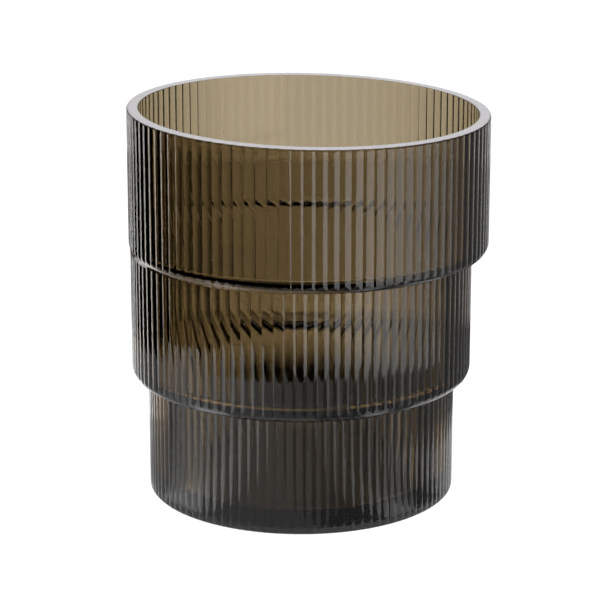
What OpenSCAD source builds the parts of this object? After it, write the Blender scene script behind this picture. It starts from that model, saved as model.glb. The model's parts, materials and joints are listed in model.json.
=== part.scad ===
// Stepped glass cylinder vase: three ribbed tiers, each narrower than the one above it.
// The glass is one casting. Each module below is one zone of it, cut on a level plane.
// Origin: centre of the foot, on the surface that the vase stands on. +Z is up.

/* [Whole vase] */
// Height from the table to the middle of the rim
vase_h = 180; // [150:1:240]
// Thickness of the wall, from the bore to the rib crests
wall = 5.2; // [4:0.1:8]
// Thickness of the floor of the vase
floor_t = 8.5; // [6:0.5:14]

/* [Upper tier] */
// Diameter over the rib crests of the upper tier
upper_d = 166; // [164:0.1:176]
// Height of the upper tier, from its underside to the middle of the rim
upper_h = 65.2; // [50:0.1:80]
// How far the upper tier sits off the axis of the foot, towards +X
upper_shift = 3.5; // [0:0.1:4]
// How much lower the rim is at its +X side than at its -X side
rim_fall = 3.6; // [0:0.1:6]

/* [Middle and lower tiers] */
// Diameter over the rib crests of the middle tier
middle_d = 157.6; // [150:0.1:160]
// Height of the middle tier
middle_h = 60.2; // [40:0.1:70]
// Diameter over the rib crests of the lower tier
lower_d = 142.6; // [130:0.1:148]

/* [Ribs and corners] */
// Number of ribs round each tier
ribs = 100; // [72:4:144]
// Height of a rib above the valleys beside it
rib_depth = 0.5; // [0.2:0.05:0.8]
// Thickness of the glass where the upper tier steps in
upper_ledge = 3.4; // [3:0.1:5.4]
// Thickness of the glass where the middle tier steps in
lower_ledge = 4.2; // [3:0.1:5.4]
// Radius of the rounded corner under the upper tier
upper_round = 4.4; // [3:0.1:5.6]
// Radius of the rounded corner under the middle tier
lower_round = 5.6; // [3:0.1:5.6]
// Radius of the rounded edge of the foot
foot_round = 1.7; // [0.5:0.1:2.5]

/* [Hidden] */
$fn = 96;

smoke = [0.36, 0.31, 0.24, 0.6];
smoke_deep = [0.26, 0.23, 0.2, 0.7];
rim_tone = [0.72, 0.7, 0.74, 0.7];

// Points along the outline of one rib
rib_steps = 4;
// Height of the smooth lip zone that carries the rim
lip_h = 6;
// Height of a step zone, just over its rounded corner and its ledge
step_h = 6;
// Height of the foot zone, just over its rounded edge
foot_h = 3;
// Spare length that a cutting tool has past the glass
spare = 20;

// Levels
middle_z = vase_h - upper_h - middle_h;
upper_z = vase_h - upper_h;
lip_z = vase_h - rim_fall / 2 - lip_h;

// Angle that the rim plane leans by
rim_lean = atan2(rim_fall, upper_d);

// Outline of a tier: convex ribs with sharp valleys, a crest at 0, 90, 180 and 270 degrees
function rib_r(d, t) = d / 2 - rib_depth * pow(2 * t - 1, 2);
function rib_outline(d) = [
    for (i = [0 : ribs * rib_steps - 1])
        let (t = (i % rib_steps) / rib_steps,
             a = 360 * (i / rib_steps - 0.5) / ribs)
        rib_r(d, t) * [cos(a), sin(a)]
];

// A ribbed disc of height h
module ribbed(d, h) {
    linear_extrude(height = h) polygon(rib_outline(d));
}

// A smooth disc flush with the rib valleys, with its lower edge rounded
module rounded_disc(d, h, edge) {
    r = d / 2 - rib_depth;
    rotate_extrude() {
        square([r - edge, h]);
        translate([0, edge]) square([r, h - edge]);
        intersection() {
            translate([r - edge, edge]) circle(r = edge);
            square([r, edge]);
        }
    }
}

// The hollow of a tier whose crests measure d across
module bore(d, h) {
    cylinder(d = d - 2 * wall, h = h);
}

module rim() {
    color(rim_tone)
    translate([upper_shift, 0, 0])
    difference() {
        translate([0, 0, lip_z]) ribbed(upper_d, lip_h + rim_fall + spare / 2);
        translate([0, 0, lip_z - spare]) bore(upper_d, lip_h + rim_fall + 2 * spare);
        translate([0, 0, vase_h]) rotate([0, rim_lean, 0])
            translate([-upper_d, -upper_d, 0]) cube([2 * upper_d, 2 * upper_d, spare * 2]);
    }
}

module upper_tier() {
    h = lip_z - upper_z - step_h;
    color(smoke)
    translate([upper_shift, 0, upper_z + step_h])
    difference() {
        ribbed(upper_d, h);
        translate([0, 0, -spare]) bore(upper_d, h + 2 * spare);
    }
}

module upper_step() {
    color(smoke_deep)
    translate([0, 0, upper_z])
    difference() {
        translate([upper_shift, 0, 0]) rounded_disc(upper_d, step_h, upper_round);
        translate([0, 0, -spare]) bore(middle_d, 2 * spare);
        translate([upper_shift, 0, upper_ledge]) bore(upper_d, spare);
    }
}

module middle_tier() {
    h = upper_z - middle_z - step_h;
    color(smoke)
    translate([0, 0, middle_z + step_h])
    difference() {
        ribbed(middle_d, h);
        translate([0, 0, -spare]) bore(middle_d, h + 2 * spare);
    }
}

module lower_step() {
    color(smoke_deep)
    translate([0, 0, middle_z])
    difference() {
        rounded_disc(middle_d, step_h, lower_round);
        translate([0, 0, -spare]) bore(lower_d, 2 * spare);
        translate([0, 0, lower_ledge]) bore(middle_d, spare);
    }
}

module lower_tier() {
    h = middle_z - floor_t;
    color(smoke_deep)
    translate([0, 0, floor_t])
    difference() {
        ribbed(lower_d, h);
        translate([0, 0, -spare]) bore(lower_d, h + 2 * spare);
    }
}

module floor_plate() {
    color(smoke_deep)
    translate([0, 0, foot_h]) ribbed(lower_d, floor_t - foot_h);
}

module foot() {
    color(rim_tone) rounded_disc(lower_d, foot_h, foot_round);
}

rim();
upper_tier();
upper_step();
middle_tier();
lower_step();
lower_tier();
floor_plate();  // floor
foot();
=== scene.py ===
import json
import math
import bmesh
import bpy
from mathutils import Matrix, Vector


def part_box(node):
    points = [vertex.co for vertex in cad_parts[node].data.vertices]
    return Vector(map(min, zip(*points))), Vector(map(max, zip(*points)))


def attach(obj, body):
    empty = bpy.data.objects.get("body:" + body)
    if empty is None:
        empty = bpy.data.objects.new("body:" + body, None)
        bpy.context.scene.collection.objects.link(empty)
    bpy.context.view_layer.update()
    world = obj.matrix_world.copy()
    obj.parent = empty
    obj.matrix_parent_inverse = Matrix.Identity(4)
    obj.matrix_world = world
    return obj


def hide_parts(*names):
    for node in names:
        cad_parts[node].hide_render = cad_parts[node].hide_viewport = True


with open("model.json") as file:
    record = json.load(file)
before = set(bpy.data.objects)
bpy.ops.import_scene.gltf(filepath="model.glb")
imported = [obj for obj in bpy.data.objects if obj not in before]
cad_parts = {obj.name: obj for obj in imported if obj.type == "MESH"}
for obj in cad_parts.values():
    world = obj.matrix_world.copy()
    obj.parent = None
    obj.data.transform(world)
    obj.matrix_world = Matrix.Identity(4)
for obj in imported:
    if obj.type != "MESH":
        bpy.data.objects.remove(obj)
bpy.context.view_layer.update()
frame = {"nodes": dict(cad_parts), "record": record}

# ---------------------------------------------------------------- sizes, in metres
RIBS = 100
FACETS = 8                      # facets across one rib
RIB_DEPTH = 0.0005              # crest to valley
UPPER_CORNER = 0.0044           # rounded corner under the upper tier
LOWER_CORNER = 0.0056           # rounded corner under the middle tier
FOOT_CORNER = 0.0017            # rounded edge of the foot
LIP_CORNER = 0.0009             # rounded outer edge of the rim
LIP_FADE = 0.35                 # how much smaller that rounding is at a valley than at a crest
LIP_BREAK = 0.00035             # softened inner edge of the rim
UPPER_LEDGE_CORNER = 0.0026     # the two roundings of the inner step of the upper tier
LOWER_LEDGE_CORNER = 0.0040     # the same for the middle tier
FLOOR_FILLET = 0.0042           # between the inner wall and the floor
RIM_FALL = 0.0036               # the rim is this much lower at +X than at -X
LEAN_FROM = 0.05                # the glass leans with the rim from this far above the upper step
SEAM_PROUD = 0.00015            # the upper tier always stands this far over the middle one
CORNER_RINGS = 8                # rings of points across each kind of rounding
INNER_RINGS = 5
LIP_RINGS = 4
BREAK_RINGS = 2
HOLD_NEAR = 0.0003              # holding rings that keep a long wall's shading straight
HOLD_FAR = 0.0012
HOLD_FLAT = 0.0005              # the same on the underside and the floor, inside their roundings
MERGE = 0.000002                # points this close are one point
SMOOTH_ANGLE = math.radians(32) # sharper edges than this stay sharp


def span(node, axis):
    """Lowest and highest place of a node along one axis."""
    low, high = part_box(node)
    return low[axis], high[axis]


def well(name):
    """Radius and length of one of the bores that the frame states as mounts."""
    for mount in frame["record"]["mounts"]:
        if mount["name"] == name:
            return mount["dims"]["r_mm"] / 1000, mount["dims"]["length_mm"] / 1000
    raise ValueError(name)


upper_low_x, upper_high_x = span("upper_tier", 0)
upper_r = (upper_high_x - upper_low_x) / 2
upper_x = (upper_high_x + upper_low_x) / 2
middle_r = span("middle_tier", 0)[1]
lower_r = span("lower_tier", 0)[1]
upper_z = span("upper_step", 2)[0]
middle_z = span("lower_step", 2)[0]
floor_z = span("floor", 2)[1]
rim_z = span("rim", 2)[1] - RIM_FALL / 2
mouth_r, mouth_length = well("mouth")
middle_well_r, middle_well_length = well("middle_well")
lower_well_r = well("lower_well")[0]
upper_ledge_z = span("rim", 2)[1] - mouth_length
middle_ledge_z = upper_ledge_z - middle_well_length
rim_slope = RIM_FALL / (2 * upper_r)


# ---------------------------------------------------------------- the section of the glass
def quarter(count, start=0.0):
    """Angles across a rounded corner, from start to a right angle."""
    return [start + (math.pi / 2 - start) * k / count for k in range(count + 1)]


def rib_drop(t):
    """Depth below the crests, at t from 0 to 1 across a rib."""
    return RIB_DEPTH * (2 * t - 1) ** 2


def tier_outside(drop, radius, low, high, corner):
    """Radius and height of a tier's outside, from its rounded underside up to its top."""
    start = math.acos(1 - drop / corner)
    line = []
    for angle in reversed(quarter(CORNER_RINGS, start)):
        line.append((radius - corner + corner * math.cos(angle), low + corner - corner * math.sin(angle)))
    foot = line[-1][1]
    for z in (foot + HOLD_NEAR, foot + HOLD_FAR, high - HOLD_FAR, high - HOLD_NEAR, high):
        line.append((radius - drop, z))
    return line


def lip_outline(drop):
    """Rounded outer edge of the rim, its flat, and its softened inner edge."""
    low = rim_z - LIP_CORNER
    fade = 1 - LIP_FADE * drop / RIB_DEPTH
    line = []
    for angle in quarter(LIP_RINGS)[1:]:
        r = upper_r - drop - LIP_CORNER * fade * (1 - math.cos(angle))
        line.append((r, low + LIP_CORNER * math.sin(angle)))
    for angle in reversed(quarter(BREAK_RINGS)):
        r = mouth_r + LIP_BREAK * (1 - math.cos(angle))
        line.append((r, rim_z - LIP_BREAK * (1 - math.sin(angle))))
    return line


def ledge_inside(top_r, low_r, z, corner):
    """Inner step from one bore down to the next, as two quarter rounds with holding rings."""
    drops = [(0, corner + HOLD_FAR), (0, corner + HOLD_NEAR)]
    for angle in quarter(INNER_RINGS):
        drops.append((0.5 * (1 - math.cos(angle)), corner * (1 - math.sin(angle))))
    for angle in quarter(INNER_RINGS)[1:]:
        drops.append((0.5 + 0.5 * math.sin(angle), -corner * (1 - math.cos(angle))))
    drops += [(1, -corner - HOLD_NEAR), (1, -corner - HOLD_FAR)]
    line = [(top_r + (low_r - top_r) * share, z + rise) for share, rise in drops]
    return line, [share for share, _ in drops]


def floor_inside():
    """Inner wall down through the fillet to the middle of the floor."""
    top = floor_z + FLOOR_FILLET
    line = [(lower_well_r, top + HOLD_FAR), (lower_well_r, top + HOLD_NEAR)]
    for angle in quarter(INNER_RINGS):
        r = lower_well_r - FLOOR_FILLET * (1 - math.cos(angle))
        line.append((r, floor_z + FLOOR_FILLET * (1 - math.sin(angle))))
    line += [(lower_well_r - FLOOR_FILLET - HOLD_FLAT, floor_z), (0, floor_z)]
    return line


def glass_section(t):
    """The section of the glass at t from 0 to 1 across a rib, from under the floor round to its top.

    Returns the radius and height of each point, its share of the upper tier's shift, and which
    points are the corner under the upper tier.
    """
    drop = rib_drop(t)
    low = [(0, 0), (lower_r - FOOT_CORNER - HOLD_FLAT, 0)]
    low += tier_outside(drop, lower_r, 0, middle_z, FOOT_CORNER)
    low += tier_outside(drop, middle_r, middle_z, upper_z, LOWER_CORNER)
    high = tier_outside(drop, upper_r, upper_z, rim_z - LIP_CORNER, UPPER_CORNER)
    corner_rings = range(len(low), len(low) + CORNER_RINGS + 1)
    high += lip_outline(drop)
    high += [(mouth_r, rim_z - LIP_BREAK - HOLD_NEAR), (mouth_r, rim_z - LIP_BREAK - HOLD_FAR)]
    step, shares = ledge_inside(mouth_r, middle_well_r, upper_ledge_z, UPPER_LEDGE_CORNER)
    rest = ledge_inside(middle_well_r, lower_well_r, middle_ledge_z, LOWER_LEDGE_CORNER)[0]
    rest += floor_inside()
    shift = [0.0] * len(low) + [1.0] * len(high) + [1 - share for share in shares] + [0.0] * len(rest)
    return low + high + step + rest, shift, corner_rings


# ---------------------------------------------------------------- drawing and shaping tools
def deselect_all():
    if bpy.context.object and bpy.context.object.mode != "OBJECT":
        bpy.ops.object.mode_set(mode="OBJECT")
    bpy.ops.object.select_all(action="DESELECT")


def new_point(name):
    """A new object at the origin, in edit mode, that holds one selected point."""
    deselect_all()
    bpy.ops.mesh.primitive_plane_add(size=0.01)
    piece = bpy.context.object
    piece.name = name
    bpy.ops.object.mode_set(mode="EDIT")
    bpy.ops.mesh.select_mode(type="VERT")
    bpy.ops.mesh.select_all(action="SELECT")
    bpy.ops.mesh.merge(type="CENTER")
    return piece


def extrude_line(places):
    """Extrude the selected point from place to place."""
    for here, there in zip(places, places[1:]):
        step = [b - a for a, b in zip(here, there)]
        bpy.ops.mesh.extrude_vertices_move(TRANSFORM_OT_translate={"value": step})


def pick(piece, test):
    """In edit mode, select the vertices that pass the test, and their edges and faces."""
    bpy.ops.mesh.select_all(action="DESELECT")
    bm = bmesh.from_edit_mesh(piece.data)
    ring = bm.verts.layers.int.get("ring")
    for index, vert in enumerate(bm.verts):
        vert.select = test(index if ring is None else vert[ring], vert.co)
    bm.select_flush_mode()
    bmesh.update_edit_mesh(piece.data)


# ---------------------------------------------------------------- the glass
def model_rib(piece):
    """Draw the section at each facet of one rib, and bridge them into a slice of the vase."""
    pitch = 2 * math.pi / RIBS
    count = 0
    for facet in range(FACETS + 1):
        line, shift, corner_rings = glass_section(facet / FACETS)
        count = len(line)
        angle = pitch * (facet / FACETS - 0.5)
        if facet:
            pick(piece, lambda index, place: index == 0)
            bpy.ops.mesh.duplicate()
        extrude_line([(r * math.cos(angle), r * math.sin(angle), z) for r, z in line])
    for facet in range(FACETS):
        pick(piece, lambda index, place: facet * count <= index < (facet + 2) * count)
        bpy.ops.mesh.bridge_edge_loops(type="SINGLE")
    bpy.ops.object.mode_set(mode="OBJECT")
    ring = piece.data.attributes.new("ring", "INT", "POINT")
    for index in range(len(piece.data.vertices)):
        ring.data[index].value = index % count
    bpy.ops.object.mode_set(mode="EDIT")
    return shift, corner_rings


def repeat_ribs():
    """Spin copies of the slice all round, and join them."""
    bpy.ops.mesh.select_all(action="SELECT")
    turn = 2 * math.pi * (RIBS - 1) / RIBS
    bpy.ops.mesh.spin(steps=RIBS - 1, dupli=True, angle=turn, center=(0, 0, 0), axis=(0, 0, 1))
    bpy.ops.mesh.select_all(action="SELECT")
    bpy.ops.mesh.remove_doubles(threshold=MERGE)
    bpy.ops.mesh.normals_make_consistent(inside=False)


def set_upper_tier_over(piece, shift, corner_rings):
    """Move the upper tier off the foot's axis, and push its corner out where it meets the middle tier."""
    for share in sorted(set(shift) - {0.0}):
        pick(piece, lambda ring, place: shift[ring] == share)
        bpy.ops.transform.translate(value=(upper_x * share, 0, 0))
    bm = bmesh.from_edit_mesh(piece.data)
    ring = bm.verts.layers.int["ring"]
    least = middle_r + SEAM_PROUD
    for vert in bm.verts:
        if vert[ring] in corner_rings and vert.co.xy.length < least:
            vert.co.xy *= least / vert.co.xy.length
    bmesh.update_edit_mesh(piece.data)


def lean_rim(piece):
    """Slope the rim, so that it falls towards +X."""
    bm = bmesh.from_edit_mesh(piece.data)
    for vert in bm.verts:
        if vert.co.z > upper_z + LEAN_FROM:
            vert.co.z -= rim_slope * (vert.co.x - upper_x)
    bmesh.update_edit_mesh(piece.data)


def build_glass():
    piece = new_point("vase_glass")
    shift, corner_rings = model_rib(piece)
    repeat_ribs()
    set_upper_tier_over(piece, shift, corner_rings)
    lean_rim(piece)
    bpy.ops.object.mode_set(mode="OBJECT")
    bpy.ops.object.shade_smooth_by_angle(angle=SMOOTH_ANGLE)
    return piece


glass = build_glass()


# ---------------------------------------------------------------- shader maths
class Value:
    """A socket with Python's operators, each of which adds one Math node."""

    def __init__(self, tree, socket):
        self.tree = tree
        self.socket = socket

    def math(self, operation, *others):
        values = [self] + list(others)
        return Shader(self.tree).node("ShaderNodeMath", {"operation": operation}, dict(enumerate(values)))

    def __add__(self, other):
        return self.math("ADD", other)

    def __radd__(self, other):
        return self.math("ADD", other)

    def __sub__(self, other):
        return self.math("SUBTRACT", other)

    def __mul__(self, other):
        return self.math("MULTIPLY", other)

    def __rmul__(self, other):
        return self.math("MULTIPLY", other)


class Shader:
    """Adds nodes to a material's or the world's tree."""

    def __init__(self, tree):
        self.tree = tree

    def node(self, kind, settings=None, sockets=None, output=0):
        """A node of any kind: its settings first, then its sockets' values or links."""
        node = self.tree.nodes.new(kind)
        for name, value in (settings or {}).items():
            setattr(node, name, value)
        for name, value in (sockets or {}).items():
            if isinstance(value, Value):
                self.tree.links.new(value.socket, node.inputs[name])
            else:
                node.inputs[name].default_value = value
        return Value(self.tree, node.outputs[output])

    def link(self, value, node, name):
        self.tree.links.new(value.socket, node.inputs[name])

    def apart(self, vector):
        """The three parts of a place or colour."""
        node = self.tree.nodes.new("ShaderNodeSeparateXYZ")
        self.tree.links.new(vector.socket, node.inputs[0])
        return [Value(self.tree, part) for part in node.outputs]

    def ramp(self, value, low, high):
        """A smooth step from 0 to 1 as the value goes from low to high."""
        settings = {"interpolation_type": "SMOOTHSTEP"}
        sockets = {"Value": value, "From Min": low, "From Max": high}
        return self.node("ShaderNodeMapRange", settings, sockets)

    def noise(self, place, scale, detail, rough=0.5):
        sockets = {"Vector": place, "Scale": scale, "Detail": detail, "Roughness": rough}
        return self.node("ShaderNodeTexNoise", {}, sockets)

    def mix_colour(self, share, first, second):
        """Sockets 6 and 7 and output 2 of a Mix node are its colours."""
        sockets = {0: share, 6: first, 7: second}
        return self.node("ShaderNodeMix", {"data_type": "RGBA"}, sockets, output=2)

    def bump(self, height, distance, under=None):
        """Raise the surface by the height times the distance, over the bump under it."""
        sockets = {"Height": height, "Distance": distance, "Strength": 1.0}
        if under is not None:
            sockets["Normal"] = under
        return self.node("ShaderNodeBump", {}, sockets)


# ---------------------------------------------------------------- materials
GLASS_IOR = 1.5
SMOKE_DENSITY = 340
SMOKE_COLOUR = (0.441, 0.329, 0.088, 1)


def smoke_glass():
    """Smoke-brown pressed glass, clear through its body, with a ground rim and a worn standing ring."""
    material = bpy.data.materials.new("smoke_glass")
    material.use_nodes = True
    tree = material.node_tree
    shader = Shader(tree)
    clear = tree.nodes["Principled BSDF"]
    end = tree.nodes["Material Output"]
    place = shader.node("ShaderNodeTexCoord", output="Object")
    x, y, z = shader.apart(place)

    # where the glass is ground: the flat of the rim, with a slightly uneven edge
    above = z + rim_slope * (x - upper_x) - rim_z
    uneven = (shader.noise(place, 900, 3) - 0.5) * 0.00025
    ground = shader.ramp(above + uneven, -0.00042, -0.00012)
    across = ((x - upper_x) * (x - upper_x) + y * y).math("SQRT")
    turned = shader.node("ShaderNodeCombineXYZ", {}, {"X": across * 26000, "Y": x * 240, "Z": y * 240})
    scratches = shader.noise(turned, 1, 3, 0.65)
    grain = shader.noise(place, 5200, 2)

    # the ring that the vase stands on is scuffed
    scuffs = shader.ramp(shader.noise(place, 700, 5, 0.7), 0.5, 0.72)
    worn = shader.ramp(z, 0.0009, 0.0001) * scuffs

    # cords drawn down the wall, a fine skin from the mould, and small seeds in a few of the cells
    drawn = shader.node("ShaderNodeVectorMath", {"operation": "MULTIPLY"}, {0: place, 1: (1, 1, 0.16)})
    cords = shader.noise(drawn, 70, 2, 0.55)
    skin = shader.noise(place, 520, 3, 0.6)
    ripple = shader.noise(drawn, 900, 2, 0.5)
    cell = {"Vector": place, "Scale": 210, "Randomness": 1}
    seed_distance = shader.node("ShaderNodeTexVoronoi", {}, cell)
    seed_kind = shader.node("ShaderNodeTexVoronoi", {}, cell, output="Color")
    few = shader.ramp(shader.apart(seed_kind)[0], 0.80, 0.84)
    seeds = shader.ramp(seed_distance, 0.11, 0.03) * few

    # the clear glass, with a thin film of dust
    clear_bump = shader.bump(cords, 0.00016)
    clear_bump = shader.bump(skin, 0.000006, under=clear_bump)
    clear_bump = shader.bump(ripple, 0.000009, under=clear_bump)
    clear_bump = shader.bump(seeds, 0.00007, under=clear_bump)
    film = shader.ramp(shader.noise(place, 38, 4, 0.62), 0.52, 0.8)
    rough = film * 0.02 + worn * 0.3 + ground * (0.26 + 0.2 * scratches)
    tint = shader.mix_colour(film * 0.5 + cords * 0.3, (1, 1, 1, 1), (0.955, 0.945, 0.925, 1))
    shader.link(tint, clear, "Base Color")
    shader.link(rough, clear, "Roughness")
    shader.link(clear_bump, clear, "Normal")
    clear.inputs["Transmission Weight"].default_value = 1
    clear.inputs["IOR"].default_value = GLASS_IOR

    # the frosted skin of the ground glass
    frost = shader.mix_colour(scratches, (0.36, 0.345, 0.36, 1), (0.62, 0.60, 0.62, 1))
    frost_rough = 0.34 + 0.22 * grain
    frost_bump = shader.bump(scratches, 0.00003, under=shader.bump(grain, 0.00002))
    satin = tree.nodes.new("ShaderNodeBsdfPrincipled")
    shader.link(frost, satin, "Base Color")
    shader.link(frost_rough, satin, "Roughness")
    shader.link(frost_bump, satin, "Normal")
    share = ground * (0.7 + 0.2 * grain) + worn * 0.35
    both = tree.nodes.new("ShaderNodeMixShader")
    shader.link(share, both, 0)
    tree.links.new(clear.outputs[0], both.inputs[1])
    tree.links.new(satin.outputs[0], both.inputs[2])
    tree.links.new(both.outputs[0], end.inputs["Surface"])

    # the colour is in the body of the glass, so that thick places are darker
    smoke = tree.nodes.new("ShaderNodeVolumeAbsorption")
    smoke.inputs["Density"].default_value = SMOKE_DENSITY
    smoke.inputs["Color"].default_value = SMOKE_COLOUR
    tree.links.new(smoke.outputs["Volume"], end.inputs["Volume"])
    return material


glass.data.materials.append(smoke_glass())
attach(glass, "root")
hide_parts(*[node for node in frame["nodes"]])


# ---------------------------------------------------------------- studio
WHITE = (1, 1, 1, 1)

# Directions are in degrees round the vase: 0 is the front, where the camera is, and 90 is +X.
# Soft round patches of light above: direction, elevation, inner and outer radius in degrees, strength
LIGHT_PATCHES = [
    (0, 90, 20, 30, 1.6),
    (272, 55, 12, 26, 1.9),
    (320, 45, 10, 30, 0.8),
    (180, 56, 8, 20, 2.4),
    (178, 6, 9, 16, 1.3),
    (170, 30, 10, 25, 0.5),
    (270, 6, 14, 34, 0.4),
]
ROOM_GLOW = 0.02                # of the dark room between the patches

UNDER = 0.0012                  # heights of the cards over the floor
LEVEL = 0.0015
OVER = 0.0018
CARD_STEP = 6                   # degrees between the points of a card
# The dark and grey cards are painted shade on the floor, and the bright ones are glowing sheets of
# painted light that light nothing; only the glass sees them, in its reflections and through its walls.
# Cards on the floor: first and last direction, inner and outer radius, strength, height
FLOOR_CARDS = {
    "painted_shade_front_card": (-116, 18, 0.30, 4.0, 0.0, LEVEL),
    "painted_shade_near_card": (8, 68, 0.076, 0.30, 0.3, LEVEL),
    "bright_right_card": (18, 70, 0.30, 3.0, 2.2, LEVEL),
    "painted_half_shade_right_card": (70, 128, 0.14, 4.0, 0.36, LEVEL),
    "painted_shade_right_card": (128, 160, 0.14, 0.30, 0.08, LEVEL),
    "painted_half_shade_back_right_card": (128, 168, 0.30, 0.70, 0.65, LEVEL),
    "painted_half_shade_back_card": (168, 200, 0.32, 0.66, 0.78, LEVEL),
    "painted_shade_back_left_card": (200, 219, 0.28, 0.72, 0.12, LEVEL),
    "painted_half_shade_near_left_card": (-112, 8, 0.076, 0.30, 0.66, UNDER),
    "bright_near_left_card": (-66, -42, 0.076, 0.34, 1.9, OVER),
    "bright_near_right_card": (34, 50, 0.076, 0.30, 1.4, OVER),
    "bright_left_card": (-130, -116, 0.14, 2.0, 2.2, LEVEL),
}

SHEET_SIZE = 14                 # the floor that the glass sees, just under the vase
SHEET_Z = -0.0002
SHEET_GREY = (0.9, 0.9, 0.9, 1)
BACKDROP_SIZE = 24              # the floor and room that the camera sees
BACKDROP_Z = -0.0004
BACKDROP_GLOW = 1.1

SUN_STRENGTH = 4.6
SUN_TILT = math.radians(36)     # from straight above towards the front
SUN_WIDTH = math.radians(16)

CAMERA_PLACE = (-0.0005, -1.1333, 0.4226)
CAMERA_DOWN = math.radians(16.4)
CAMERA_LENS = 152.36
SENSOR_WIDTH = 36


def emitter(name, strength):
    """A material that glows white and is not sampled as a light."""
    material = bpy.data.materials.new(name)
    material.use_nodes = True
    tree = material.node_tree
    tree.nodes.clear()
    glow = tree.nodes.new("ShaderNodeEmission")
    glow.inputs["Color"].default_value = WHITE
    glow.inputs["Strength"].default_value = strength
    end = tree.nodes.new("ShaderNodeOutputMaterial")
    tree.links.new(glow.outputs[0], end.inputs["Surface"])
    material.cycles.emission_sampling = "NONE"
    return material


def floor_card(name, start, end, inner, outer, strength, height):
    """A flat glowing card round the vase, between two directions and two radii, that only the glass sees:
    painted shade of the floor where its strength is below the lit floor, and painted light where it is
    above.
    """
    steps = max(2, round((end - start) / CARD_STEP))
    verts = []
    for k in range(steps + 1):
        angle = math.radians(start + (end - start) * k / steps)
        for r in (inner, outer):
            verts.append((r * math.sin(angle), -r * math.cos(angle), height))
    faces = [(2 * k, 2 * k + 1, 2 * k + 3, 2 * k + 2) for k in range(steps)]
    mesh = bpy.data.meshes.new(name)
    mesh.from_pydata(verts, [], faces)
    mesh.materials.append(emitter(name, strength))
    card = bpy.data.objects.new(name, mesh)
    bpy.context.scene.collection.objects.link(card)
    card.visible_camera = False
    card.visible_diffuse = False
    card.visible_shadow = False


def light_patch(shader, way, azimuth, elevation, inner, outer, strength):
    """One patch of light on the world, as a smooth ramp between its two radii."""
    a, e = math.radians(azimuth), math.radians(elevation)
    centre = (math.cos(e) * math.sin(a), -math.cos(e) * math.cos(a), math.sin(e))
    settings = {"operation": "DOT_PRODUCT"}
    near = shader.node("ShaderNodeVectorMath", settings, {0: way, 1: centre}, output="Value")
    return shader.ramp(near, math.cos(math.radians(outer)), math.cos(math.radians(inner))) * strength


def build_world():
    """What the glass sees above the floor: soft light overhead and behind, in a dark room."""
    world = bpy.data.worlds.new("studio")
    bpy.context.scene.world = world
    world.use_nodes = True
    tree = world.node_tree
    shader = Shader(tree)
    way = shader.node("ShaderNodeTexCoord", output="Generated")
    light = light_patch(shader, way, *LIGHT_PATCHES[0])
    for patch in LIGHT_PATCHES[1:]:
        light = light + light_patch(shader, way, *patch)
    light = light + ROOM_GLOW
    back = tree.nodes["Background"]
    shader.link(light, back, "Strength")
    back.inputs["Color"].default_value = WHITE
    world.cycles_visibility.camera = False
    world.cycles_visibility.diffuse = False


def build_floor():
    """The floor that the glass sees, with the shadow of the vase on it."""
    deselect_all()
    bpy.ops.mesh.primitive_plane_add(size=SHEET_SIZE, location=(0, 0, SHEET_Z))
    sheet = bpy.context.object
    sheet.name = "floor_sheet"
    material = bpy.data.materials.new("white_sheet")
    material.use_nodes = True
    paint = material.node_tree.nodes["Principled BSDF"]
    paint.inputs["Base Color"].default_value = SHEET_GREY
    paint.inputs["Roughness"].default_value = 0.9
    paint.inputs["Specular IOR Level"].default_value = 0.1
    sheet.data.materials.append(material)
    sheet.visible_camera = False


def build_backdrop():
    """The white floor and the white room round it, as the camera sees them. They light nothing."""
    deselect_all()
    bpy.ops.mesh.primitive_plane_add(size=BACKDROP_SIZE, location=(0, 0, BACKDROP_Z))
    white_floor = bpy.context.object
    white_floor.name = "white_floor"
    bpy.ops.mesh.primitive_uv_sphere_add(segments=48, ring_count=24, radius=BACKDROP_SIZE / 2)
    room = bpy.context.object
    room.name = "white_room"
    for backdrop in (white_floor, room):
        backdrop.data.materials.append(emitter(backdrop.name, BACKDROP_GLOW))
        backdrop.visible_diffuse = False
        backdrop.visible_glossy = False
        backdrop.visible_transmission = False
        backdrop.visible_shadow = False


def build_sun():
    """A wide sun over the front, so that the shadow falls behind the vase."""
    deselect_all()
    bpy.ops.object.light_add(type="SUN", location=(0, 0, 2))
    sun = bpy.context.object
    sun.name = "top_light"
    sun.data.energy = SUN_STRENGTH
    sun.data.angle = SUN_WIDTH
    sun.rotation_euler = (SUN_TILT, 0, 0)
    sun.visible_glossy = False
    sun.visible_transmission = False
    sun.visible_camera = False


def build_camera():
    data = bpy.data.cameras.new("camera")
    camera = bpy.data.objects.new("camera", data)
    bpy.context.scene.collection.objects.link(camera)
    camera.location = CAMERA_PLACE
    camera.rotation_euler = (math.pi / 2 - CAMERA_DOWN, 0, 0)
    data.lens = CAMERA_LENS
    data.sensor_width = SENSOR_WIDTH
    bpy.context.scene.camera = camera


build_world()
build_floor()
build_backdrop()
for name, card in FLOOR_CARDS.items():
    floor_card(name, *card)
build_sun()
build_camera()

scene = bpy.context.scene
scene.view_settings.view_transform = "Standard"
scene.cycles.max_bounces = 32
scene.cycles.transmission_bounces = 32
scene.cycles.glossy_bounces = 16
